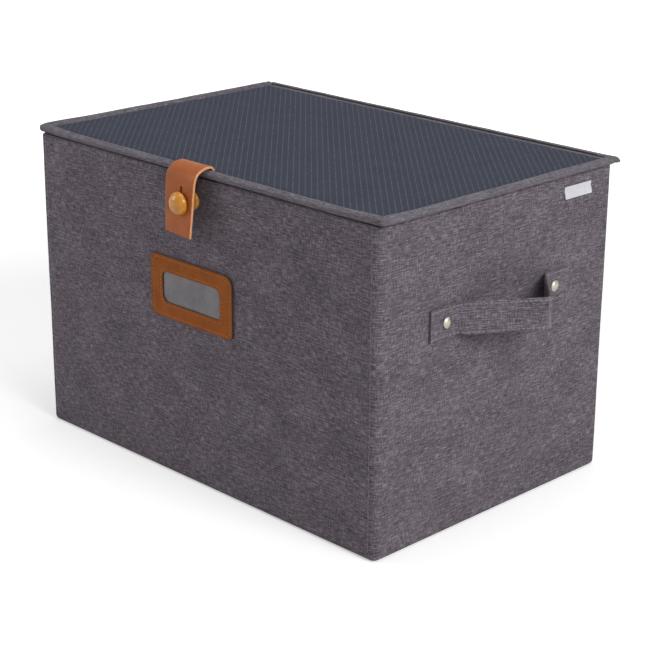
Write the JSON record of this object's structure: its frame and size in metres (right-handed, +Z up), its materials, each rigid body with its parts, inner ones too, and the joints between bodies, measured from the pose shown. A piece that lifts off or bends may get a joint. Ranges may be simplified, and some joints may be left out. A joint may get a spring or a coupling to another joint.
{
  "type": "fabric file box",
  "caption": "Rectangular board-stiffened fabric box with a hinged lid, a buttoned leather strap, a framed label window and a riveted strap handle on each end.",
  "frame": {"origin": "middle of the body's flat underside", "axes": "+X along the long front, to the right end; -Y out of the front; +Z up"},
  "size_m": [0.4818, 0.2958, 0.2721],
  "materials": {
    "body_cloth": "woven melange cloth",
    "lid_cloth": "woven cloth with fine light pinstripes",
    "lining_cloth": "plain woven lining",
    "strap_leather": "smooth tan leather with a pale cut edge",
    "label_leather": "smooth brown leather",
    "label_film": "clear flexible film",
    "knob_wood": "turned and lacquered",
    "rivet_metal": "satin nickel",
    "screw_steel": "zinc plated",
    "tag_cloth": "fine woven tape",
    "board": "dense grey board"
  },
  "bodies": {
    "box": {"front_cover": "body_cloth", "back_cover": "body_cloth", "right_cover": "body_cloth", "left_cover": "body_cloth", "bottom_cover": "body_cloth", "hinge_cloth": "body_cloth", "right_handle": "body_cloth", "left_handle": "body_cloth", "front_lining": "lining_cloth", "back_lining": "lining_cloth", "right_lining": "lining_cloth", "left_lining": "lining_cloth", "base_cloth": "lining_cloth", "front_board": "board", "back_board": "board", "right_board_front": "board", "right_board_back": "board", "left_board_front": "board", "left_board_back": "board", "base_board": "board", "label_frame": "label_leather", "label_film": "label_film", "knob": "knob_wood", "knob_screw": "screw_steel", "knob_washer": "screw_steel", "handle_rivets": "rivet_metal", "rivet_rings": "rivet_metal", "side_tag": "tag_cloth"},
    "lid": {"lid_board": "board", "lid_border": "body_cloth", "lid_panel": "lid_cloth", "lid_lining": "lining_cloth"},
    "strap": {"closure_strap": "strap_leather"}
  },
  "joints": [
    {"name": "lid_hinge", "type": "hinge", "parent": "box", "child": "lid", "pos_m": [0, 0.136, 0.2623], "axis": [-1, 0, 0], "range_deg": [0, 225], "deforming": ["hinge_cloth"]},
    {"name": "strap_swing", "type": "hinge", "parent": "lid", "child": "strap", "pos_m": [0, -0.128, 0.2669], "axis": [-1, 0, 0], "range_deg": [0, 160], "deforming": ["closure_strap"]}
  ]
}
